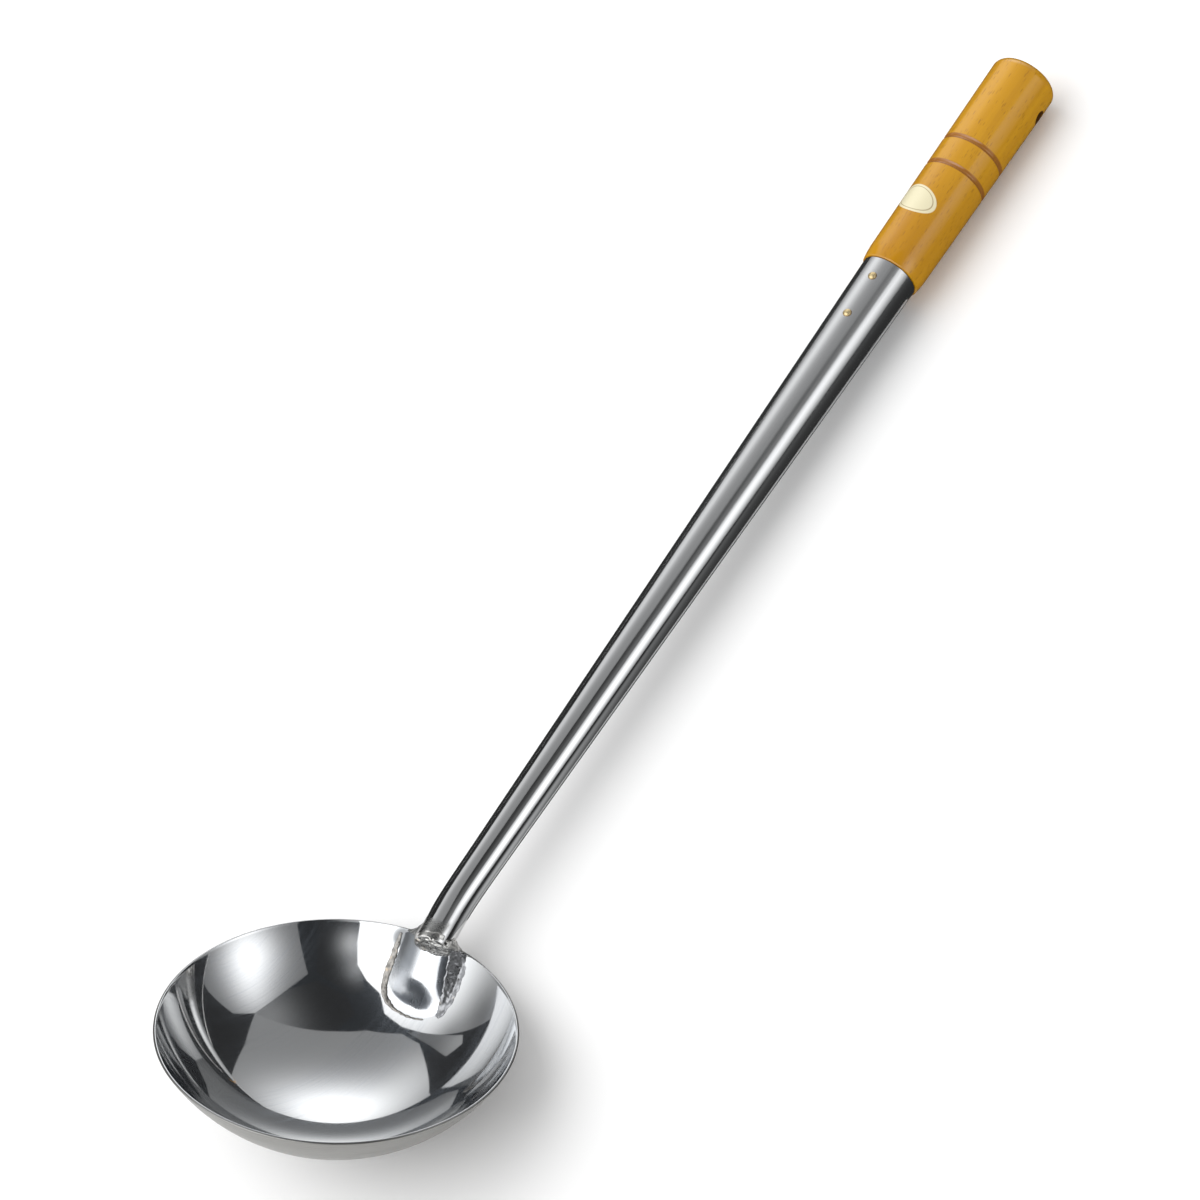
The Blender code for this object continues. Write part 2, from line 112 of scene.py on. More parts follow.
def number_of(tree, operation, first, second=0.0, third=0.0):
    """A Math node's result."""
    return wire(tree, "Math", {0: first, 1: second, 2: third}, operation=operation).outputs[0]


def spread(tree, value, start, end, to_start=0.0, to_end=1.0):
    """Stretch a value's range onto another, with smooth ends."""
    sockets = {"Value": value, "From Min": start, "From Max": end, "To Min": to_start, "To Max": to_end}
    return wire(tree, "MapRange", sockets, interpolation_type="SMOOTHSTEP").outputs["Result"]


def vector_of(tree, operation, first, second=(0, 0, 0), third=(0, 0, 0)):
    """A Vector Math node's result, which is a number for a length or a distance."""
    made = wire(tree, "VectorMath", {0: first, 1: second, 2: third}, operation=operation)
    return made.outputs["Value" if operation in ("LENGTH", "DISTANCE") else "Vector"]


def noise(tree, coords, scale=1.0, detail=2.0, roughness=0.5):
    sockets = {"Vector": coords, "Scale": scale, "Detail": detail, "Roughness": roughness}
    return wire(tree, "TexNoise", sockets).outputs["Fac"]


def between(tree, share, first, second):
    """Mix two numbers."""
    return wire(tree, "Mix", {0: share, 2: first, 3: second}).outputs[0]


def blend(tree, share, first, second):
    """Mix two colours, which may be plain ones."""
    made = wire(tree, "Mix", {0: share}, data_type="RGBA")
    for index, colour in ((6, first), (7, second)):
        if isinstance(colour, bpy.types.NodeSocket):
            tree.links.new(colour, made.inputs[index])
        else:
            made.inputs[index].default_value = (*colour, 1)
    return made.outputs[2]


def new_finish(name, **values):
    """A material with its plain values on the shader's own sockets."""
    finish = bpy.data.materials.new(name)
    finish.use_nodes = True
    shader = finish.node_tree.nodes["Principled BSDF"]
    for socket, value in values.items():
        shader.inputs[socket.replace("_", " ")].default_value = value
    return finish, finish.node_tree, shader


def own_coords(tree, place):
    """Coordinates in a piece's own frame, from its place in the ladle."""
    back = place.inverted()
    coords = wire(tree, "TexCoord").outputs["Object"]
    sockets = {"Vector": coords, "Location": back.translation, "Rotation": back.to_euler()}
    return wire(tree, "Mapping", sockets).outputs["Vector"]


def make_hairlines():
    """Fine lines left by buffing or brushing, drawn along the slow directions of the coordinates."""
    group = bpy.data.node_groups.new("hairlines", "ShaderNodeTree")
    group.interface.new_socket("Coords", in_out="INPUT", socket_type="NodeSocketVector")
    group.interface.new_socket("Lines", in_out="OUTPUT", socket_type="NodeSocketFloat")
    group.interface.new_socket("Patches", in_out="OUTPUT", socket_type="NodeSocketFloat")
    entry = group.nodes.new("NodeGroupInput").outputs["Coords"]
    leave = group.nodes.new("NodeGroupOutput")
    patches = spread(group, noise(group, entry, scale=0.06), start=0.35, end=0.7)
    lines = spread(group, noise(group, entry, detail=4.0, roughness=0.7), start=0.42, end=0.72)
    group.links.new(lines, leave.inputs["Lines"])
    group.links.new(patches, leave.inputs["Patches"])
    return group


hairlines = make_hairlines()


def draw_hairlines(tree, coords):
    made = tree.nodes.new("ShaderNodeGroup")
    made.node_tree = hairlines
    tree.links.new(coords, made.inputs["Coords"])
    return made.outputs["Lines"], made.outputs["Patches"]


def raise_surface(tree, shader, height, strength, distance):
    bump = wire(tree, "Bump", {"Height": height, "Strength": strength, "Distance": distance})
    tree.links.new(bump.outputs["Normal"], shader.inputs["Normal"])


def add_haze(tree, shader, colour, share, roughness):
    """Lay a dull second sheen over a mirror finish, as countless fine scratches do."""
    sockets = {"Base Color": (*colour, 1), "Metallic": 1.0, "Roughness": roughness}
    haze = wire(tree, "BsdfPrincipled", sockets)
    mixed = wire(tree, "MixShader", {0: share, 1: shader.outputs[0], 2: haze.outputs[0]})
    tree.links.new(mixed.outputs[0], tree.nodes["Material Output"].inputs["Surface"])


clear_selection()
bpy.ops.mesh.primitive_uv_sphere_add(segments=BOWL_SEGMENTS, ring_count=BOWL_RINGS, radius=sphere_radius,
                                     location=sphere_centre)
bowl = bpy.context.object
bpy.ops.object.transform_apply(location=True)
bpy.ops.object.mode_set(mode="EDIT")
bpy.ops.mesh.select_all(action="SELECT")
bpy.ops.mesh.bisect(plane_co=(0, 0, 0), plane_no=(0, 0, 1), clear_outer=True)
bpy.ops.object.mode_set(mode="OBJECT")
apply_modifier(bowl, "SOLIDIFY", thickness=BOWL_WALL, offset=-1, use_even_offset=True)
apply_modifier(bowl, "BEVEL", width=RIM_DRESSING, segments=3, limit_method="ANGLE",
               angle_limit=math.radians(40))
bpy.ops.object.shade_smooth_by_angle(angle=math.radians(50))
put_in_place(bowl, bowl_place)

POLISHED_STEEL = (0.54, 0.54, 0.536)
WORN_STEEL = (0.515, 0.515, 0.515)
SATIN_STEEL = (0.27, 0.266, 0.255)
SATIN_SHADE = (0.232, 0.229, 0.217)
DARK_STEEL = (0.15, 0.15, 0.148)
HAZE_BLUE = (0.49, 0.535, 0.60)
BUFFING_CENTRE = (0.035, 0.11, 0.02)
BUFFING_LINES = 1500.0
BUFFING_DRIFT = (9.0, 9.0, 9.0)
BUFFING_DEPTH = 0.12
LATHE_LINES = 5200.0
LATHE_DRIFT = (60.0, 60.0, 0.0)
GROUND_SPOT = (0.0535, 0.0122, -0.0022)
GROUND_REACH = 0.0048
MIRROR_ROUGHNESS = 0.035
BUFFED_ROUGHNESS = 0.035
SATIN_ROUGHNESS = 0.34
RINGED_ROUGHNESS = 0.14
GROUND_ROUGHNESS = 0.3
HAZE_ROUGHNESS = 0.3
HAZE_SHARE = 0.08
SCUFF_SHARE = 0.18

bowl_finish, tree, shader = new_finish("bowl_steel", Metallic=1.0)
coords = own_coords(tree, bowl_place)
from_sphere = vector_of(tree, "DISTANCE", coords, sphere_centre)
outside = number_of(tree, "GREATER_THAN", from_sphere, sphere_radius - BOWL_WALL / 2)
from_buff = vector_of(tree, "SUBTRACT", coords, BUFFING_CENTRE)
buff_reach = number_of(tree, "MULTIPLY", vector_of(tree, "LENGTH", from_buff), BUFFING_LINES)
arcs = wire(tree, "CombineXYZ", {"X": buff_reach}).outputs[0]
arcs = vector_of(tree, "MULTIPLY_ADD", vector_of(tree, "NORMALIZE", from_buff), BUFFING_DRIFT, arcs)
arc_lines, arc_patches = draw_hairlines(tree, arcs)
height = wire(tree, "SeparateXYZ", {0: coords}).outputs["Z"]
rings = wire(tree, "CombineXYZ", {"Z": number_of(tree, "MULTIPLY", height, LATHE_LINES)}).outputs[0]
ring_lines, _ = draw_hairlines(tree, vector_of(tree, "MULTIPLY_ADD", coords, LATHE_DRIFT, rings))
ground = spread(tree, vector_of(tree, "DISTANCE", coords, GROUND_SPOT), GROUND_REACH, GROUND_REACH * 0.5)
worn = blend(tree, arc_patches, POLISHED_STEEL, WORN_STEEL)
worn = blend(tree, ground, worn, DARK_STEEL)
satin = blend(tree, ring_lines, SATIN_STEEL, SATIN_SHADE)
tree.links.new(blend(tree, outside, worn, satin), shader.inputs["Base Color"])
inside_rough = number_of(tree, "MULTIPLY_ADD", arc_lines, BUFFED_ROUGHNESS, MIRROR_ROUGHNESS)
inside_rough = number_of(tree, "MULTIPLY_ADD", ground, GROUND_ROUGHNESS, inside_rough)
outside_rough = number_of(tree, "MULTIPLY_ADD", ring_lines, RINGED_ROUGHNESS, SATIN_ROUGHNESS)
tree.links.new(between(tree, outside, inside_rough, outside_rough), shader.inputs["Roughness"])
relief = between(tree, outside, number_of(tree, "MULTIPLY", arc_lines, BUFFING_DEPTH), ring_lines)
raise_surface(tree, shader, relief, strength=0.25, distance=0.00002)
scuffs = number_of(tree, "MULTIPLY", arc_lines, arc_patches)
scuffs = number_of(tree, "MULTIPLY_ADD", scuffs, SCUFF_SHARE, HAZE_SHARE)
scuffs = number_of(tree, "MULTIPLY", scuffs, number_of(tree, "SUBTRACT", 1.0, outside))
add_haze(tree, shader, HAZE_BLUE, scuffs, HAZE_ROUGHNESS)
hand_over(bowl, "bowl", bowl_finish)

# The lug: a low broad tongue pressed from stainless sheet. It leans back against the tube's cut end
# and falls down the bowl's inner wall, hollow towards its feet. It is welded down both sides and
# ground smooth into the wall at its lower end.
SHAFT_LENGTH = 0.2851
GRIP_LENGTH = 0.0893
JOINT_GAP = 0.0003
NECK_RADIUS = 0.00595
LUG_LENGTH = 0.0252
LUG_HALF_WIDTHS = {1: 0.0125, -1: 0.0112}
LUG_SHEET = 0.0008
LUG_CROWN = 0.0062
LUG_FALL = 0.8
LUG_SIDE_FALL = 1.4
LUG_SQUARENESS = 2.4
LUG_ROUND = 0.0125
LUG_TOP_RUN = 0.0006
LUG_COLUMNS = 128
LUG_ROWS = 140
FOOT_SINK = 0.00005

handle_length = SHAFT_LENGTH + JOINT_GAP + GRIP_LENGTH
handle_start = Vector(grip_end["pos_m"]) - handle_axis * handle_length
shaft_start = bowl_place.inverted() @ handle_start
handle_turn = Matrix.Rotation(math.pi / 2 - HANDLE_RISE, 4, "Y")
handle_place = bowl_place @ Matrix.Translation(shaft_start) @ handle_turn
along = handle_turn @ Vector((0, 0, 1))
under = handle_turn @ Vector((1, 0, 0))
sideways = Vector((0, 1, 0))
inner_radius = sphere_radius - BOWL_WALL
rim_angle = math.acos(sphere_centre.z / inner_radius)


def wall_point(run, across, height):
    """A point over the bowl's inner wall: down it from the rim, across it, and above it."""
    reach = inner_radius - height
    down = rim_angle - run / inner_radius
    level = reach * math.sin(down)
    turn = across / level
    return sphere_centre + Vector((level * math.cos(turn), level * math.sin(turn), -reach * math.cos(down)))


neck_top = shaft_start - under * NECK_RADIUS - sphere_centre
neck_top_run = (rim_angle - math.atan2(neck_top.x, -neck_top.z)) * inner_radius
neck_top_height = inner_radius - neck_top.length


def lug_swell(side, foot_run):
    """How much of the crown's height is left: 1 along the middle, 0 at the sides and the tip."""
    past_round = max(0, foot_run - LUG_LENGTH + LUG_ROUND) / LUG_ROUND
    return max(0, 1 - abs(side)**LUG_SQUARENESS - past_round**LUG_SQUARENESS)**LUG_SIDE_FALL


def lug_place(run, across, lift=-FOOT_SINK):
    """A point on the lug, or lifted off it, by its run down the wall and its distance across."""
    side = across / LUG_HALF_WIDTHS[1 if across > 0 else -1]
    down = min(1, (run - LUG_TOP_RUN) / (LUG_LENGTH - LUG_TOP_RUN))
    height = LUG_CROWN * (1 - LUG_FALL * down**2) * lug_swell(side, run)
    lean = (neck_top_run - LUG_TOP_RUN) / neck_top_height
    return wall_point(run + lean * (1 - down) * height, across, height + lift)


clear_selection()
bpy.ops.mesh.primitive_grid_add(x_subdivisions=LUG_COLUMNS, y_subdivisions=LUG_ROWS, size=2)
lug = bpy.context.object
for vertex in lug.data.vertices:
    half = LUG_HALF_WIDTHS[1 if vertex.co.x > 0 else -1]
    down = (1 - vertex.co.y) / 2
    vertex.co = lug_place(LUG_TOP_RUN + (LUG_LENGTH - LUG_TOP_RUN) * down, vertex.co.x * half)
bpy.ops.object.mode_set(mode="EDIT")
bpy.ops.mesh.select_all(action="SELECT")
bpy.ops.mesh.remove_doubles(threshold=1e-6)
bpy.ops.object.mode_set(mode="OBJECT")
middle = min(lug.data.polygons, key=lambda face: (face.center - wall_point(LUG_LENGTH / 2, 0, 0)).length)
if middle.normal.dot(sphere_centre - middle.center) < 0:
    lug.data.flip_normals()
apply_modifier(lug, "SOLIDIFY", thickness=LUG_SHEET, offset=-1)
bpy.ops.object.shade_smooth_by_angle(angle=math.radians(50))
put_in_place(lug, bowl_place)

LUG_SHADE = (0.48, 0.48, 0.48)
LUG_LINES = (900.0, 2600.0, 900.0)
LUG_LINE_DEPTH = 0.012
LUG_WAVES = 210.0
LUG_GROUND_HEIGHTS = (-0.011, -0.003)
LUG_GROUND_SIDES = (0.0015, 0.0055)
LUG_GROUND_RAGGED = 0.004
LUG_GROUND_ROUGHNESS = 0.26
LUG_ROUGHNESS = 0.09
LUG_LINED_ROUGHNESS = 0.08
LUG_HAZE_SHARE = 0.2
LUG_SCUFF_SHARE = 0.1
LUG_HAZE_ROUGHNESS = 0.32

lug_finish, tree, shader = new_finish("lug_steel", Metallic=1.0)
coords = own_coords(tree, bowl_place)
brushed, patches = draw_hairlines(tree, vector_of(tree, "MULTIPLY", coords, LUG_LINES))
waves = noise(tree, coords, scale=LUG_WAVES, detail=1.5)
parts = wire(tree, "SeparateXYZ", {0: coords})
ragged = number_of(tree, "MULTIPLY_ADD", waves, LUG_GROUND_RAGGED, parts.outputs["Z"])
ground = spread(tree, parts.outputs["Y"], *LUG_GROUND_SIDES)
ground = number_of(tree, "MULTIPLY", spread(tree, ragged, *LUG_GROUND_HEIGHTS), ground)
polished = blend(tree, patches, POLISHED_STEEL, LUG_SHADE)
tree.links.new(blend(tree, ground, polished, DARK_STEEL), shader.inputs["Base Color"])
polish = number_of(tree, "MULTIPLY_ADD", brushed, LUG_LINED_ROUGHNESS, LUG_ROUGHNESS)
polish = number_of(tree, "MULTIPLY_ADD", ground, LUG_GROUND_ROUGHNESS, polish)
tree.links.new(polish, shader.inputs["Roughness"])
relief = number_of(tree, "MULTIPLY_ADD", brushed, LUG_LINE_DEPTH, waves)
raise_surface(tree, shader, relief, strength=0.35, distance=0.0002)
scuffs = number_of(tree, "MULTIPLY_ADD", patches, LUG_SCUFF_SHARE, LUG_HAZE_SHARE)
add_haze(tree, shader, HAZE_BLUE, scuffs, LUG_HAZE_ROUGHNESS)
hand_over(lug, "lug", lug_finish)

# The shaft: a stainless tube, parallel at the neck and then widening all the way to its mouth,
# with its lower end cut aslant to butt against the lug. It is polished along its length, and the
# last centimetre above the weld has been ground back with a disc.
SHAFT_WALL = 0.0008
NECK_BEND = 0.0014
NECK_BEND_LENGTH = 0.0125
NECK_LENGTH = 0.0273
NECK_BLEND = 0.012
MOUTH_RADIUS = 0.00975
TAPER_START = 0.06
HANDLE_STEPS = 144


def shaft_radius(height):
    """Outside radius of the tube: a parallel neck that bends smoothly into a straight taper."""
    slope = (MOUTH_RADIUS - NECK_RADIUS) / (SHAFT_LENGTH - NECK_LENGTH)
    past = height - NECK_LENGTH
    if past <= -NECK_BLEND:
        return NECK_RADIUS
    if past >= NECK_BLEND:
        return NECK_RADIUS + slope * past
    return NECK_RADIUS + slope * (past + NECK_BLEND)**2 / (4 * NECK_BLEND)


def neck_bend(height):
    """How far the hand-welded neck stands off the middle, to the right."""
    return NECK_BEND * math.exp(-(height / NECK_BEND_LENGTH)**2)


def steps(start, end, count):
    return [start + (end - start) * step / count for step in range(count + 1)]


def turn_on_lathe(outline, around):
    """Draw an outline of (radius, height) points by extruding one vertex, then spin it round Z."""
    clear_selection()
    bpy.ops.mesh.primitive_circle_add(vertices=3, radius=0.001)
    piece = bpy.context.object
    bpy.ops.object.mode_set(mode="EDIT")
    bpy.ops.mesh.select_all(action="SELECT")
    bpy.ops.mesh.merge(type="CENTER")
    bpy.ops.transform.translate(value=(outline[0][0], 0, outline[0][1]))
    for (radius, height), (next_radius, next_height) in zip(outline, outline[1:]):
        move = {"value": (next_radius - radius, 0, next_height - height)}
        bpy.ops.mesh.extrude_vertices_move(TRANSFORM_OT_translate=move)
    bpy.ops.mesh.select_all(action="SELECT")
    bpy.ops.mesh.spin(steps=around, angle=2 * math.pi, center=(0, 0, 0), axis=(0, 0, 1))
    bpy.ops.mesh.select_all(action="SELECT")
    bpy.ops.mesh.remove_doubles(threshold=1e-6)
    bpy.ops.mesh.normals_make_consistent(inside=False)
    bpy.ops.object.mode_set(mode="OBJECT")
    return piece


seam_drop = wall_point(LUG_TOP_RUN, 0, 0) - (shaft_start - under * NECK_RADIUS)
seam_slant = math.atan2(seam_drop.dot(along), seam_drop.dot(under))
heights = [*steps(0, NECK_LENGTH + NECK_BLEND, 32), *steps(TAPER_START, SHAFT_LENGTH, 12)]
outer_wall = [(shaft_radius(height), height) for height in heights]
inner_wall = [(radius - SHAFT_WALL, height) for radius, height in reversed(outer_wall)]
shaft = turn_on_lathe(outer_wall + inner_wall + outer_wall[:1], HANDLE_STEPS)
bpy.ops.object.mode_set(mode="EDIT")
bpy.ops.mesh.select_all(action="SELECT")
cut_way = (-math.sin(seam_slant), 0, math.cos(seam_slant))
bpy.ops.mesh.bisect(plane_co=(-NECK_RADIUS, 0, 0), plane_no=cut_way, clear_inner=True)
bpy.ops.mesh.bridge_edge_loops()
bpy.ops.object.mode_set(mode="OBJECT")
for vertex in shaft.data.vertices:
    vertex.co.y -= neck_bend(vertex.co.z)
bpy.ops.object.shade_smooth_by_angle(angle=math.radians(40))
put_in_place(shaft, handle_place)

TUBE_STEEL = (0.61, 0.61, 0.61)
TUBE_SHADE = (0.575, 0.575, 0.575)
TUBE_LINES = (2600.0, 2600.0, 26.0)
TUBE_LINE_DEPTH = 0.1
TUBE_LINED_ROUGHNESS = 0.08
NECK_ROUGHNESS = 0.07
MOUTH_ROUGHNESS = 0.15
DULLED_FROM = 0.28
GROUND_STEEL = (0.30, 0.30, 0.295)
DISC_SHADE = (0.46, 0.455, 0.44)
DISC_LINES = (700.0, 900.0, 4200.0)
DISC_ROUGHNESS = 0.26
DISC_LINED_ROUGHNESS = 0.15
GROUND_LENGTH = 0.0088
GROUND_FADE = (0.0046, 0.0022)
GROUND_RAGGED = 0.004
GROUND_SLANT = -0.7
GROUND_RIGHT_EDGE = (-0.0058, -0.0048)

shaft_finish, tree, shader = new_finish("shaft_steel", Metallic=1.0)
coords = own_coords(tree, handle_place)
lengthwise, patches = draw_hairlines(tree, vector_of(tree, "MULTIPLY", coords, TUBE_LINES))
disc_lines, _ = draw_hairlines(tree, vector_of(tree, "MULTIPLY", coords, DISC_LINES))
ragged = noise(tree, coords, scale=260.0, detail=3.0)
parts = wire(tree, "SeparateXYZ", {0: coords})
edge = number_of(tree, "MULTIPLY_ADD", ragged, GROUND_RAGGED, parts.outputs["Z"])
edge = number_of(tree, "MULTIPLY_ADD", parts.outputs["X"], GROUND_SLANT, edge)
ground = spread(tree, edge, *(GROUND_LENGTH + fade for fade in GROUND_FADE))
ground = number_of(tree, "MULTIPLY", ground, spread(tree, parts.outputs["Y"], *GROUND_RIGHT_EDGE))
bright = blend(tree, patches, TUBE_STEEL, TUBE_SHADE)
dulled = blend(tree, disc_lines, GROUND_STEEL, DISC_SHADE)
tree.links.new(blend(tree, ground, bright, dulled), shader.inputs["Base Color"])
smooth = spread(tree, parts.outputs["Z"], TAPER_START, DULLED_FROM, NECK_ROUGHNESS, MOUTH_ROUGHNESS)
smooth = number_of(tree, "MULTIPLY_ADD", lengthwise, TUBE_LINED_ROUGHNESS, smooth)
rough = number_of(tree, "MULTIPLY_ADD", disc_lines, DISC_LINED_ROUGHNESS, DISC_ROUGHNESS)
tree.links.new(between(tree, ground, smooth, rough), shader.inputs["Roughness"])
relief = between(tree, ground, number_of(tree, "MULTIPLY", lengthwise, TUBE_LINE_DEPTH), disc_lines)
raise_surface(tree, shader, relief, strength=0.35, distance=0.00003)
hand_over(shaft, "shaft", shaft_finish)

# The welds: runs of stainless filler, laid puddle after puddle by hand. One closes the tube's cut
# end against the lug and fills its corners with the rim, one lies under the tube outside the rim,
# and one runs down each side of the lug, the right one wide and untidy.
WELD_SKIN = 0.0002
WELD_SMOOTHING = 16
WELD_SETTLING = 3
PUDDLE_SIZES = (0.8, 1.2)
PUDDLE_SHIFTS = (-0.2, 0.2)
WELD_SHADE = 0.66
WELD_MOTTLING = 0.2
WELD_GROUND_FADE = 0.0012
WELD_GROUND_ROUGHNESS = 0.15
STRAW = (0.46, 0.38, 0.29)
PAINTED_PIT_SHADE = (0.06, 0.055, 0.05)
UNGROUND = 1.0  # so far to the left that no weld reaches it


def lay_weld(puddles, seed, lump_size, lump_height, ground_from=UNGROUND):
    """Drop flattened beads of metal on a seam, fuse them, smooth them and leave lumps in their skin.

    Each puddle is its point, the way out of the surface, the way along the seam and its three sizes.
    There are no lumps to the left of the line from which the weld has been ground.
    """
    draw = random.Random(seed)
    clear_selection()
    drops = []
    for point, outwards, ahead, (length, width, height) in puddles:
        bpy.ops.mesh.primitive_ico_sphere_add(subdivisions=3, radius=1)
        drop = bpy.context.object
        side = outwards.cross(ahead).normalized()
        size = draw.uniform(*PUDDLE_SIZES)
        shift = side * width * draw.uniform(*PUDDLE_SHIFTS)
        axes = (side.cross(outwards).normalized() * length * size, side * width * size,
                outwards.normalized() * height)
        drop.matrix_world = Matrix.Translation(point + shift) @ Matrix(axes).transposed().to_4x4()
        drops.append(drop)
    for drop in drops:
        drop.select_set(True)
    bpy.ops.object.transform_apply(location=True, rotation=True, scale=True)
    bpy.ops.object.join()
    bead = bpy.context.object
    apply_modifier(bead, "REMESH", mode="VOXEL", voxel_size=WELD_SKIN)
    apply_modifier(bead, "SMOOTH", factor=0.5, iterations=WELD_SMOOTHING)
    lumps = bpy.data.textures.new("weld_lumps", "CLOUDS")
    lumps.noise_scale = lump_size
    lumps.noise_depth = 1
    lumpy = [vertex.index for vertex in bead.data.vertices if vertex.co.y < ground_from]
    bead.vertex_groups.new(name="lumpy").add(lumpy, 1.0, "REPLACE")
    apply_modifier(bead, "DISPLACE", texture=lumps, texture_coords="LOCAL", strength=lump_height,
                   mid_level=0.5, vertex_group="lumpy")
    apply_modifier(bead, "SMOOTH", factor=0.5, iterations=WELD_SETTLING)
    bpy.ops.object.shade_smooth()
    put_in_place(bead, bowl_place)
    return bead


def weld_finish(name, colour, tint_share, sheen, ground_from=UNGROUND):
    """Bare weld metal: a mottled skin with pits painted near black for their shade and a straw tint, ground
    to the left of a line.
    """
    finish, tree, shader = new_finish(name, Metallic=1.0)
    coords = own_coords(tree, bowl_place)
    mottle = noise(tree, coords, scale=520.0, detail=3.0)
    heat = noise(tree, coords, scale=240.0)
    pits = wire(tree, "TexVoronoi", {"Vector": coords, "Scale": 430.0}).outputs["Distance"]
    pit = spread(tree, pits, start=0.17, end=0.05)
    tint = spread(tree, heat, start=0.62 - tint_share, end=0.75 - tint_share)
    shade = tuple(part * WELD_SHADE for part in colour)
    skin = blend(tree, tint, colour, STRAW)
    skin = blend(tree, spread(tree, mottle, start=0.42, end=0.7), skin, shade)
    # Painted shade: the pits are darkened to near black for the shade inside them.
    skin = blend(tree, pit, skin, PAINTED_PIT_SHADE)
    leftwards = wire(tree, "SeparateXYZ", {0: coords}).outputs["Y"]
    ground = spread(tree, leftwards, ground_from, ground_from + WELD_GROUND_FADE)
    tree.links.new(blend(tree, ground, skin, GROUND_STEEL), shader.inputs["Base Color"])
    rough = spread(tree, mottle, start=0.3, end=0.75, to_start=sheen, to_end=sheen + WELD_MOTTLING)
    rough = number_of(tree, "MULTIPLY_ADD", ground, WELD_GROUND_ROUGHNESS, rough)
    tree.links.new(rough, shader.inputs["Roughness"])
    relief = number_of(tree, "SUBTRACT", mottle, pit)
    raise_surface(tree, shader, relief, strength=0.3, distance=0.00016)
    return finish


def seam_point(turn, lift, height):
    """A point on the tube near its cut end, by its turn from the top and its height above the cut."""
    out = math.sin(turn) * sideways - math.cos(turn) * under
    drop = math.tan(seam_slant) * NECK_RADIUS * (1 - math.cos(turn))
    bent = sideways * neck_bend(height)
    return shaft_start + out * (NECK_RADIUS + lift) + along * (drop + height) - bent, out


def lug_normal(run, across):
    """The way out of the lug's face."""
    step = 0.0002
    down = lug_place(run + step, across) - lug_place(run, across)
    over = lug_place(run, across + step) - lug_place(run, across)
    return over.cross(down).normalized()


NECK_WELD_RIGHT = math.radians(-88.0)
NECK_WELD_LEFT = math.radians(66.0)
NECK_WELD_GROUND = 0.0034
NECK_WELD_STEEL = (0.54, 0.53, 0.51)
NECK_LAP = 0.0018
NECK_LIP_SINK = 0.0005
NECK_FOOT_RUN = 0.0040
NECK_FOOT_RISE = 0.0026
NECK_FOOT_INSET = 0.0006
NECK_FOOT_SINK = 0.0004
NECK_BULGE = 0.0003
NECK_PUDDLE = (0.0019, 0.0017)
NECK_PUDDLE_THIN = 0.0005
NECK_PUDDLE_SWELL = 0.0004
NECK_THINNING = 0.4

neck_puddles = []
for turn in steps(NECK_WELD_RIGHT, NECK_WELD_LEFT, 20):
    share_of_turn = turn / abs(NECK_WELD_RIGHT)
    lip, out = seam_point(turn, -NECK_LIP_SINK, NECK_LAP * (1 - share_of_turn) / 2)
    foot_run = NECK_FOOT_RUN - NECK_FOOT_RISE * share_of_turn**2
    foot_across = (NECK_RADIUS - NECK_FOOT_INSET) * math.sin(turn)
    foot = lug_place(foot_run, foot_across, -NECK_FOOT_SINK)
    thinning = 1 - NECK_THINNING * share_of_turn**2
    for share in steps(0, 1, 7):
        facing = out.lerp(lug_normal(foot_run, foot_across), share).normalized()
        swell = math.sin(math.pi * share)
        point = lip.lerp(foot, share) + facing * NECK_BULGE * swell
        thickness = (NECK_PUDDLE_THIN + NECK_PUDDLE_SWELL * swell) * thinning
        neck_puddles.append((point, facing, along.cross(out), (*NECK_PUDDLE, thickness)))

# In the corners between tube and rim, the neck weld reaches along the rim and rises up the tube.
CORNERS = {1: (0.0062, 0.0090), -1: (0.0034, 0.0036)}
CORNER_TURN = math.radians(84.0)
CORNER_SINK = 0.0007
CORNER_INSET = 0.0006
CORNER_PUDDLE = (0.0013, 0.0013, 0.0008)
CORNER_THINNING = 0.55
for side, (reach, rise) in CORNERS.items():
    for climb in steps(0, 1, 10):
        on_tube, out = seam_point(side * CORNER_TURN, -CORNER_SINK, rise * climb)
        turn = side * (NECK_RADIUS + reach * (1 - climb)) / rim_radius
        on_rim = Vector((math.cos(turn), math.sin(turn), 0)) * (rim_radius - CORNER_INSET)
        for share in steps(0, 1, 8):
            size = 1 - CORNER_THINNING * max(share * (1 - climb), climb * (1 - share))
            sizes = [part * size for part in CORNER_PUDDLE]
            neck_puddles.append((on_tube.lerp(on_rim, share), Vector((0, 0, 1)), sideways, sizes))
neck_weld = lay_weld(neck_puddles, seed=11, lump_size=0.0026, lump_height=0.0006,
                     ground_from=NECK_WELD_GROUND)
neck_weld_finish = weld_finish("neck_weld_steel", NECK_WELD_STEEL, tint_share=0.03, sheen=0.2,
                               ground_from=NECK_WELD_GROUND)
hand_over(neck_weld, "neck_weld", neck_weld_finish)


def trail(stations, count):
    """Places down a weld, drawn out between stations of run, across and half width, in millimetres."""
    places = []
    for start, end in zip(stations, stations[1:]):
        for share in steps(0, 1, count)[:-1]:
            places.append([(first + (last - first) * share) / 1000 for first, last in zip(start, end)])
    return places


SIDE_PUDDLE_LENGTH = 0.4
SIDE_PUDDLE_WIDTH = 0.5
SIDE_PUDDLE_LEAST = 0.0005
SIDE_PUDDLE_SPACING = 0.6


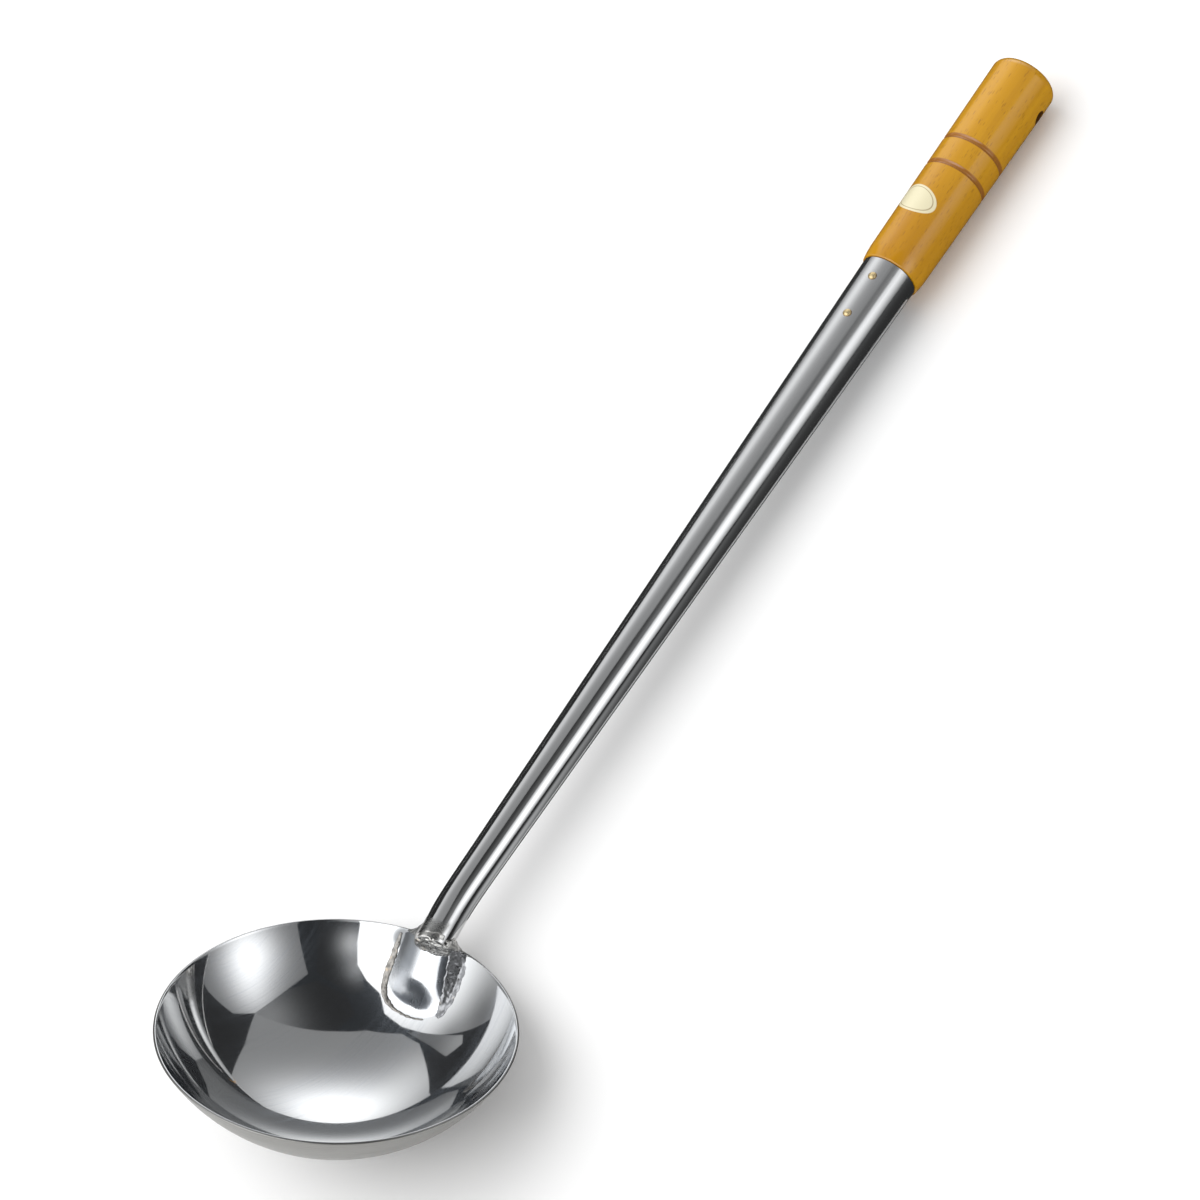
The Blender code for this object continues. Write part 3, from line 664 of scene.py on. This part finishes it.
def side_puddles(places, height):
    """Puddles lying on the lug's face and the bowl's wall."""
    found = []
    for (run, across, width), (next_run, next_across, _) in zip(places, places[1:]):
        ahead = lug_place(next_run, next_across) - lug_place(run, across)
        sizes = (width * SIDE_PUDDLE_LENGTH + SIDE_PUDDLE_LEAST, width * SIDE_PUDDLE_WIDTH, height)
        for row in (-1, 0, 1):
            aside = across + row * SIDE_PUDDLE_SPACING * width
            found.append((lug_place(run, aside), lug_normal(run, aside), ahead, sizes))
    return found


LEFT_WELD = ((1.5, 13.6, 0.6), (6, 13.6, 1.0), (10, 13.4, 1.15), (15, 13.1, 1.15), (19, 12.2, 1.15),
             (21.8, 10.6, 1.1), (24.1, 8.1, 1.05), (25.5, 5.0, 1.0), (26.0, 1.0, 0.9), (25.5, -3.0, 0.8),
             (24.4, -5.6, 0.5))
LEFT_WELD_HEIGHT = 0.00026
LEFT_WELD_STEEL = (0.24, 0.228, 0.212)
left_puddles = side_puddles(trail(LEFT_WELD, 7), LEFT_WELD_HEIGHT)
lug_weld_left = lay_weld(left_puddles, seed=5, lump_size=0.0012, lump_height=0.00016)
left_weld_finish = weld_finish("left_weld_steel", LEFT_WELD_STEEL, tint_share=0.0, sheen=0.26)
hand_over(lug_weld_left, "lug_weld_left", left_weld_finish)

RIGHT_WELD = ((0.9, -8.8, 3.0), (5, -9.9, 2.9), (10, -10.3, 2.6), (15, -10.5, 2.1), (19, -10.3, 1.5),
              (21.8, -9.7, 0.8))
RIGHT_WELD_HEIGHT = 0.00028
RIGHT_WELD_STEEL = (0.27, 0.272, 0.28)
right_puddles = side_puddles(trail(RIGHT_WELD, 9), RIGHT_WELD_HEIGHT)
lug_weld_right = lay_weld(right_puddles, seed=8, lump_size=0.0013, lump_height=0.00036)
right_weld_finish = weld_finish("right_weld_steel", RIGHT_WELD_STEEL, tint_share=0.0, sheen=0.26)
hand_over(lug_weld_right, "lug_weld_right", right_weld_finish)

RIM_WELD_SPREAD = math.radians(42.0)
RIM_WELD_LIFT = 0.0004
RIM_WELD_STEEL = (0.44, 0.43, 0.41)
RIM_PUDDLE = (0.0011, 0.0012, 0.0008)
rim_puddles = []
for turn in steps(-RIM_WELD_SPREAD, RIM_WELD_SPREAD, 12):
    out = math.cos(turn) * under + math.sin(turn) * sideways
    start = shaft_start + out * (NECK_RADIUS + RIM_WELD_LIFT) - sphere_centre
    ahead = -start.dot(along)
    reach = ahead + math.sqrt(ahead**2 - start.length_squared + (sphere_radius + RIM_WELD_LIFT)**2)
    rim_puddles.append((sphere_centre + start + along * reach, out, along.cross(out), RIM_PUDDLE))
rim_weld = lay_weld(rim_puddles, seed=3, lump_size=0.0012, lump_height=0.0004)
rim_weld_finish = weld_finish("rim_weld_steel", RIM_WELD_STEEL, tint_share=0.02, sheen=0.24)
hand_over(rim_weld, "rim_weld", rim_weld_finish)

# The grip: one piece of beech turned on a lathe, with a tenon driven into the tube's mouth. Two
# lines are burnt round it with a wire, a hole for hanging is drilled across its end, and the wood
# is stained amber under a clear lacquer.
GRIP_END_RADIUS = 0.01155
GRIP_END_ROUND = 0.0035
GRIP_END_RINGS = (0.006, 0.003, 0)
SHOULDER_RISE = 0.0005
SHOULDER_ROUND = 0.0003
SWELL = 0.0005
SWELL_LENGTH = 0.006
TENON_LENGTH = 0.048
BELOW_GROOVES = (0.008, 0.040)
GROOVES = (0.0417, 0.0529)
ABOVE_GROOVES = 0.057
GROOVE_WIDTH = 0.0019
GROOVE_DEPTH = 0.0005
HANG_HOLE_RADIUS = 0.0025
HANG_HOLE_INSET = 0.0115
HANG_HOLE_TURN = math.radians(104.0)


def grip_radius(reach):
    """Outside radius of the grip at a distance from the joint, leaving out grooves and end."""
    start = MOUTH_RADIUS + SHOULDER_RISE
    swell = SWELL * math.sin(math.pi / 2 * min(1, reach / SWELL_LENGTH))
    return start + swell + (GRIP_END_RADIUS - start - SWELL) * reach / GRIP_LENGTH


def groove_cut(reach):
    """Depth of the burnt lines at a distance from the joint."""
    depths = [1 - (2 * (reach - groove) / GROOVE_WIDTH)**2 for groove in GROOVES]
    return GROOVE_DEPTH * max(0, *depths)


def pick(piece):
    """Select one piece alone and make it the active one."""
    clear_selection()
    piece.select_set(True)
    bpy.context.view_layer.objects.active = piece


joint = SHAFT_LENGTH + JOINT_GAP
tenon_end = SHAFT_LENGTH - TENON_LENGTH
tenon_play = SHAFT_WALL + JOINT_GAP
reaches = [*steps(SHOULDER_ROUND, SWELL_LENGTH, 8), *steps(*BELOW_GROOVES, 12)]
for groove in GROOVES:
    reaches += steps(groove - GROOVE_WIDTH / 2, groove + GROOVE_WIDTH / 2, 10)
reaches += steps(ABOVE_GROOVES, GRIP_LENGTH - GRIP_END_ROUND, 30)
outline = [(0, tenon_end), (shaft_radius(tenon_end) - tenon_play, tenon_end)]
outline += [(MOUTH_RADIUS - tenon_play, joint), (grip_radius(0) - SHOULDER_ROUND, joint)]
outline += [(grip_radius(reach) - groove_cut(reach), joint + reach) for reach in reaches]
for turn in steps(0, math.pi / 2, 12)[1:]:
    outline.append((GRIP_END_RADIUS - GRIP_END_ROUND * (1 - math.cos(turn)),
                    joint + GRIP_LENGTH - GRIP_END_ROUND * (1 - math.sin(turn))))
outline += [(radius, joint + GRIP_LENGTH) for radius in GRIP_END_RINGS]
grip = turn_on_lathe(outline, HANDLE_STEPS)
hole_place = Matrix.Translation((0, 0, joint + GRIP_LENGTH - HANG_HOLE_INSET))
hole_place = hole_place @ Matrix.Rotation(HANG_HOLE_TURN, 4, "Z") @ Matrix.Rotation(math.pi / 2, 4, "Y")
bpy.ops.mesh.primitive_cylinder_add(vertices=64, radius=HANG_HOLE_RADIUS, depth=4 * GRIP_END_RADIUS)
drill = bpy.context.object
drill.matrix_world = hole_place
pick(grip)
apply_modifier(grip, "BOOLEAN", operation="DIFFERENCE", solver="EXACT", object=drill)
bpy.data.objects.remove(drill)
bpy.ops.object.shade_smooth_by_angle(angle=math.radians(40))
put_in_place(grip, handle_place)

AMBER = (0.505, 0.235, 0.003)
AMBER_PALE = (0.575, 0.284, 0.006)
AMBER_DEEP = (0.43, 0.187, 0.002)
FLECK = (0.29, 0.115, 0.005)
BURNT = (0.27, 0.095, 0.016)
BORE_SHADE_BROWN = (0.10, 0.04, 0.012)
STREAKS = (330.0, 330.0, 11.0)
BANDS = (75.0, 75.0, 7.0)
FLECKS = (1500.0, 1500.0, 260.0)
FLECK_GROUPS = (520.0, 520.0, 130.0)
FLECK_STRENGTH = 0.6
CHAR_STRENGTH = 0.85
CHAR_WOBBLE = 0.0003
LACQUER = {"Specular_IOR_Level": 0.05, "Coat_Weight": 0.85, "Coat_IOR": 1.6, "Coat_Roughness": 0.14}
LABEL_REACH = 0.0254
LABEL_TURN = math.radians(18.0)
LABEL_LEAN = math.radians(-13.0)
LABEL_HALF_SIZES = (0.0090, 0.0053, 1.0)
LABEL_RELIEF = 2.0
KEYLINE_PLACE = 0.84
CREAM = (0.74, 0.68, 0.46)
KEYLINE = (0.42, 0.34, 0.20)

grip_finish, tree, shader = new_finish("amber_beech", **LACQUER)
coords = own_coords(tree, handle_place)
streaks = noise(tree, vector_of(tree, "MULTIPLY", coords, STREAKS), detail=5.0, roughness=0.6)
bands = noise(tree, vector_of(tree, "MULTIPLY", coords, BANDS))
sparse = noise(tree, vector_of(tree, "MULTIPLY", coords, FLECK_GROUPS))
flecks = vector_of(tree, "MULTIPLY", coords, FLECKS)
flecks = wire(tree, "TexVoronoi", {"Vector": flecks, "Scale": 1.0}).outputs["Distance"]
fleck = spread(tree, flecks, start=0.34, end=0.16)
fleck = number_of(tree, "MULTIPLY", fleck, spread(tree, sparse, start=0.40, end=0.58))
wood = blend(tree, spread(tree, streaks, start=0.3, end=0.72), AMBER_PALE, AMBER)
wood = blend(tree, spread(tree, bands, start=0.42, end=0.75), wood, AMBER_DEEP)
wood = blend(tree, number_of(tree, "MULTIPLY", fleck, FLECK_STRENGTH), wood, FLECK)
parts = wire(tree, "SeparateXYZ", {0: coords})
reach = number_of(tree, "SUBTRACT", parts.outputs["Z"], joint)
char = 0.0
for groove in GROOVES:
    away = number_of(tree, "ABSOLUTE", number_of(tree, "SUBTRACT", reach, groove))
    away = number_of(tree, "MULTIPLY_ADD", streaks, CHAR_WOBBLE, away)
    line = spread(tree, away, start=GROOVE_WIDTH * 0.72, end=GROOVE_WIDTH * 0.5)
    char = number_of(tree, "MAXIMUM", char, line)
wood = blend(tree, number_of(tree, "MULTIPLY", char, CHAR_STRENGTH), wood, BURNT)
# Painted shade: the hang hole's bore and a thin ring round its mouths are painted a dark brown.
bore_shade = vector_of(tree, "MULTIPLY", own_coords(tree, handle_place @ hole_place), (1.0, 1.0, 0.0))
bore_shade = vector_of(tree, "LENGTH", bore_shade)
bore_shade = spread(tree, bore_shade, start=HANG_HOLE_RADIUS * 1.12, end=HANG_HOLE_RADIUS * 0.98)
wood = blend(tree, bore_shade, wood, BORE_SHADE_BROWN)
turn = number_of(tree, "ARCTAN2", parts.outputs["Y"], number_of(tree, "MULTIPLY", parts.outputs["X"], -1.0))
arc = number_of(tree, "MULTIPLY", number_of(tree, "SUBTRACT", turn, LABEL_TURN), grip_radius(LABEL_REACH))
flat = wire(tree, "CombineXYZ", {"X": arc, "Y": number_of(tree, "SUBTRACT", reach, LABEL_REACH)}).outputs[0]
flat = wire(tree, "Mapping", {"Vector": flat, "Rotation": (0, 0, -LABEL_LEAN), "Scale": LABEL_HALF_SIZES},
            vector_type="TEXTURE").outputs["Vector"]
from_label = vector_of(tree, "LENGTH", flat)
label = spread(tree, from_label, start=1.02, end=0.98)
keyline = number_of(tree, "ABSOLUTE", number_of(tree, "SUBTRACT", from_label, KEYLINE_PLACE))
foil = blend(tree, spread(tree, keyline, start=0.035, end=0.015), CREAM, KEYLINE)
tree.links.new(blend(tree, label, wood, foil), shader.inputs["Base Color"])
rough = spread(tree, streaks, start=0.3, end=0.7, to_start=0.34, to_end=0.48)
tree.links.new(rough, shader.inputs["Roughness"])
grain = number_of(tree, "SUBTRACT", streaks, fleck)
grain = number_of(tree, "MULTIPLY", grain, number_of(tree, "SUBTRACT", 1.0, label))
relief = number_of(tree, "MULTIPLY_ADD", label, LABEL_RELIEF, grain)
raise_surface(tree, shader, relief, strength=0.12, distance=0.00006)
hand_over(grip, "grip", grip_finish)

# The nails: two small brass pins with low domed heads, driven through the tube into the tenon on
# the upper side of the handle, so that the grip can't turn or pull out.
NAIL_PLACES = {"nail_upper": 0.0072, "nail_lower": 0.0233}
NAIL_HEAD_RADIUS = 0.0015
NAIL_HEAD_HEIGHT = 0.0008
NAIL_HEAD_SINK = 0.0002
NAIL_SHANK_RADIUS = 0.0007
NAIL_LENGTH = 0.0115
NAIL_POINT = 0.0025
NAIL_STEPS = 48
NAIL_SKIRT = 0.00044
NAIL_BRASS = (0.70, 0.56, 0.31)
NAIL_EDGE_SHADE = (0.30, 0.19, 0.08)

dome_radius = (NAIL_HEAD_RADIUS**2 + NAIL_HEAD_HEIGHT**2) / (2 * NAIL_HEAD_HEIGHT)
dome_spread = math.asin(NAIL_HEAD_RADIUS / dome_radius)
outline = [(dome_radius * math.sin(turn), NAIL_HEAD_HEIGHT - dome_radius * (1 - math.cos(turn)))
           for turn in steps(0, dome_spread, 10)]
outline += [(NAIL_HEAD_RADIUS, -NAIL_HEAD_SINK), (NAIL_SHANK_RADIUS, -NAIL_HEAD_SINK)]
outline += [(NAIL_SHANK_RADIUS, NAIL_POINT - NAIL_LENGTH), (0, -NAIL_LENGTH)]
blank = turn_on_lathe(outline, NAIL_STEPS)
bpy.ops.object.shade_smooth_by_angle(angle=math.radians(40))
for node, place in NAIL_PLACES.items():
    pick(blank)
    bpy.ops.object.duplicate()
    nail = bpy.context.object
    height = SHAFT_LENGTH - place
    seat = Matrix.Translation((-shaft_radius(height), 0, height)) @ Matrix.Rotation(-math.pi / 2, 4, "Y")
    put_in_place(nail, handle_place @ seat)
    nail_finish, tree, shader = new_finish(node + "_brass", Metallic=1.0)
    coords = own_coords(tree, handle_place @ seat)
    knocks = noise(tree, coords, scale=1500.0)
    outwards = wire(tree, "SeparateXYZ", {0: coords}).outputs["Z"]
    # Painted shade: the low edge of each head, down where it meets the tube, is painted a dark brass.
    skirt_shade = spread(tree, outwards, start=NAIL_SKIRT, end=0.0)
    tree.links.new(blend(tree, skirt_shade, NAIL_BRASS, NAIL_EDGE_SHADE), shader.inputs["Base Color"])
    rough = spread(tree, knocks, start=0.3, end=0.7, to_start=0.45, to_end=0.62)
    tree.links.new(rough, shader.inputs["Roughness"])
    raise_surface(tree, shader, knocks, strength=0.2, distance=0.00006)
    hand_over(nail, node, nail_finish)
bpy.data.objects.remove(blank)

# The studio: a plain white floor, a white room and a broad soft key from the left. Round them hang
# softboxes, soft grey hazes, dark flags and a dark ceiling, and dark cloths lie by the handle, the
# right one with a painted pool of light, all seen only by mirrors.
FLOOR_SIZE = 60.0
FLOOR_WHITE = (0.97, 0.97, 0.97)
ROOM_LIGHT = 0.74
KEY_LIGHT = 2.0
KEY_SOFTNESS = math.radians(70.0)
KEY_TURN = (math.radians(38.0), 0, math.radians(-140.0))
BOX_DISTANCE = 2.5
FLAG_DISTANCE = 3.6
CLOTH_HEIGHT = 0.0006
CARD_WHITE = (0.97, 0.985, 1.0, 1)
CEILING_HEIGHT = 3.4
CEILING_SIZE = 16.0
CEILING_BLUE = (0.84, 0.92, 1.0, 1)
CEILING_LIGHT = 0.04

clear_selection()
bpy.ops.mesh.primitive_plane_add(size=FLOOR_SIZE)
floor = bpy.context.object
floor.name = "studio_floor"
floor_finish, tree, shader = new_finish("white_floor", Roughness=1.0, Base_Color=(*FLOOR_WHITE, 1),
                                        Specular_IOR_Level=0.0)
floor.data.materials.append(floor_finish)

room = bpy.data.worlds.new("white_room")
room.use_nodes = True
bpy.context.scene.world = room
tree = room.node_tree
tree.nodes.clear()
path = wire(tree, "LightPath")
seen = number_of(tree, "MAXIMUM", path.outputs["Is Camera Ray"], path.outputs["Is Glossy Ray"])
seen = number_of(tree, "MAXIMUM", seen, path.outputs["Is Transmission Ray"])
strength = spread(tree, seen, 0.0, 1.0, ROOM_LIGHT, 1.0)
background = wire(tree, "Background", {"Color": (1, 1, 1, 1), "Strength": strength})
output = wire(tree, "OutputWorld")
tree.links.new(background.outputs[0], output.inputs["Surface"])

key = bpy.data.objects.new("key_light", bpy.data.lights.new("key_light", "SUN"))
bpy.context.collection.objects.link(key)
key.data.energy = KEY_LIGHT
key.data.angle = KEY_SOFTNESS
key.rotation_euler = KEY_TURN
key.visible_glossy = False

bowl_middle = bowl_place @ Vector((0, 0, 0))


def towards(bearing, climb):
    """A direction by its bearing from +X towards +Y and its climb above the floor, in degrees."""
    bearing, climb = math.radians(bearing), math.radians(climb)
    level = math.cos(climb)
    return Vector((level * math.cos(bearing), level * math.sin(bearing), math.sin(climb)))


def show_to_mirrors_only(card):
    for kind in ("camera", "diffuse", "transmission", "volume_scatter", "shadow"):
        setattr(card, "visible_" + kind, False)


def hang_card(name, corners, plain, glows=()):
    """Hang a card that only mirrors see. Each glow is a strength, its bearing and climb, and a reach."""
    clear_selection()
    bpy.ops.mesh.primitive_circle_add(vertices=len(corners), fill_type="NGON")
    made = bpy.context.object
    made.name = name
    for vertex, corner in zip(made.data.vertices, corners):
        vertex.co = corner
    finish = bpy.data.materials.new(name)
    finish.use_nodes = True
    tree = finish.node_tree
    tree.nodes.clear()
    coords = wire(tree, "TexCoord").outputs["Object"]
    way = vector_of(tree, "NORMALIZE", vector_of(tree, "SUBTRACT", coords, bowl_middle))
    strength = wire(tree, "Value").outputs[0]
    strength.default_value = plain
    for glow, bearing, climb, reach in glows:
        away = vector_of(tree, "DISTANCE", way, towards(bearing, climb))
        fall = number_of(tree, "POWER", number_of(tree, "DIVIDE", away, math.radians(reach)), 2.0)
        fall = number_of(tree, "EXPONENT", number_of(tree, "MULTIPLY", fall, -1.0))
        strength = number_of(tree, "MULTIPLY_ADD", fall, glow, strength)
    emission = wire(tree, "Emission", {"Color": CARD_WHITE, "Strength": strength})
    output = wire(tree, "OutputMaterial")
    tree.links.new(emission.outputs[0], output.inputs["Surface"])
    made.data.materials.append(finish)
    show_to_mirrors_only(made)


def far_off(distance, places):
    """Corners by their bearings and climbs, as seen from the middle of the bowl."""
    return [bowl_middle + towards(*place) * distance for place in places]


def on_floor(places):
    return [Vector((x, y, CLOTH_HEIGHT)) for x, y in places]


HANDLE_BOX = ((-42, 31), (-32, 50), (-7, 68), (39, 73), (75, 60), (76, 47), (69, 36), (61, 12), (60, -4),
              (-2, -4), (-23, 20))
FRONT_BOX = ((-85, 56), (-108, 33), (-122, 3), (-50, -4), (-45, 2), (-39, 18), (-42, 31))
LEFT_BOX = ((-154, 47), (-146, 57), (-142, 69), (-159, 78), (143, 80), (86, 76), (81, 63), (84, 49),
            (86, 38), (89, 22), (92, 3), (150, 3), (-160, 3))
LEFT_HAZE = ((-157, 40), (-146, 57), (-142, 69), (-150, 76), (-150, 84), (-92, 82), (-92, 60),
             (-112, 48), (-128, 30))
FRONT_HAZE = ((-42, 31), (-60, 44), (-84, 62), (-84, 80), (0, 82), (-7, 68), (-32, 50))
FAR_WINDOW = ((79, 58), (84, 49), (86, 38), (87, 24), (83, 21), (76, 26), (78, 40))
END_FLAG = ((-2, -6), (-2, 32), (-70, 30), (-70, -6))
BACK_FLAG = ((50, -4), (55, 30), (92, 40), (92, 6), (78, -4))
FLAG_GREY = 0.035
CLOTH_START = -0.118
CLOTH_END = 1.3
CLOTH_REACH = 1.5
CLOTH_UNDER = -0.0085
CLOTH_BESIDE = -0.0126
GRIP_START = 0.147
RIGHT_CLOTH = ((CLOTH_START, CLOTH_BESIDE), (GRIP_START, CLOTH_BESIDE), (GRIP_START, CLOTH_UNDER),
               (CLOTH_END, CLOTH_UNDER), (CLOTH_END, -CLOTH_REACH), (CLOTH_START, -CLOTH_REACH))
LEFT_CLOTH = ((CLOTH_START, CLOTH_UNDER), (CLOTH_END, CLOTH_UNDER), (CLOTH_END, CLOTH_REACH),
              (CLOTH_START, CLOTH_REACH))
hang_card("handle_softbox", far_off(BOX_DISTANCE, HANDLE_BOX), plain=0.40,
          glows=[(2.3, 28, 17, 20), (0.45, 61, 30, 17)])
hang_card("front_softbox", far_off(BOX_DISTANCE, FRONT_BOX), plain=0.28,
          glows=[(2.1, -73, 22, 16), (0.7, -53, 30, 12)])
hang_card("left_softbox", far_off(BOX_DISTANCE, LEFT_BOX), plain=0.42,
          glows=[(2.8, 160, 50, 46), (-0.7, 97, 19, 17), (-0.5, 85, 36, 10)])
hang_card("left_haze", far_off(BOX_DISTANCE, LEFT_HAZE), plain=FLAG_GREY,
          glows=[(0.7, -142, 57, 8), (0.35, -141, 71, 7)])
hang_card("front_haze", far_off(BOX_DISTANCE, FRONT_HAZE), plain=FLAG_GREY, glows=[(0.32, -40, 38, 16)])
hang_card("far_window", far_off(BOX_DISTANCE, FAR_WINDOW), plain=0.21, glows=[(0.3, 84, 23, 11)])
hang_card("end_flag", far_off(FLAG_DISTANCE, END_FLAG), plain=FLAG_GREY)
hang_card("back_flag", far_off(FLAG_DISTANCE, BACK_FLAG), plain=FLAG_GREY)
# The right cloth carries a painted pool of light, seen only in mirrors.
hang_card("right_cloth", on_floor(RIGHT_CLOTH), plain=0.03, glows=[(0.6, -18, -21, 10)])
hang_card("left_cloth", on_floor(LEFT_CLOTH), plain=0.045)

bpy.ops.mesh.primitive_plane_add(size=CEILING_SIZE, location=(0, 0, CEILING_HEIGHT))
ceiling = bpy.context.object
ceiling.name = "dark_ceiling"
ceiling_finish, tree, shader = new_finish("dark_ceiling", Base_Color=(0, 0, 0, 1), Roughness=1.0,
                                          Specular_IOR_Level=0.0, Emission_Color=CEILING_BLUE,
                                          Emission_Strength=CEILING_LIGHT)
ceiling.data.materials.append(ceiling_finish)
show_to_mirrors_only(ceiling)

# The camera looks down on the ladle from the bowl's side, far off through a long lens. Its place
# and its turn, in degrees, are given in the bowl's own frame.
CAMERA_PLACE = (-1.81586, -1.29117, 1.74062)
CAMERA_TURN = (54.7595, -1.4396, -55.5889)
CAMERA_LENS = 270.0
SENSOR = 36.0

camera = bpy.data.objects.new("camera", bpy.data.cameras.new("camera"))
bpy.context.collection.objects.link(camera)
camera.data.lens = CAMERA_LENS
camera.data.sensor_width = SENSOR
camera_turn = Euler([math.radians(turn) for turn in CAMERA_TURN]).to_matrix().to_4x4()
camera.matrix_world = bowl_place @ Matrix.Translation(CAMERA_PLACE) @ camera_turn
bpy.context.scene.camera = camera
bpy.context.scene.view_settings.view_transform = "Standard"
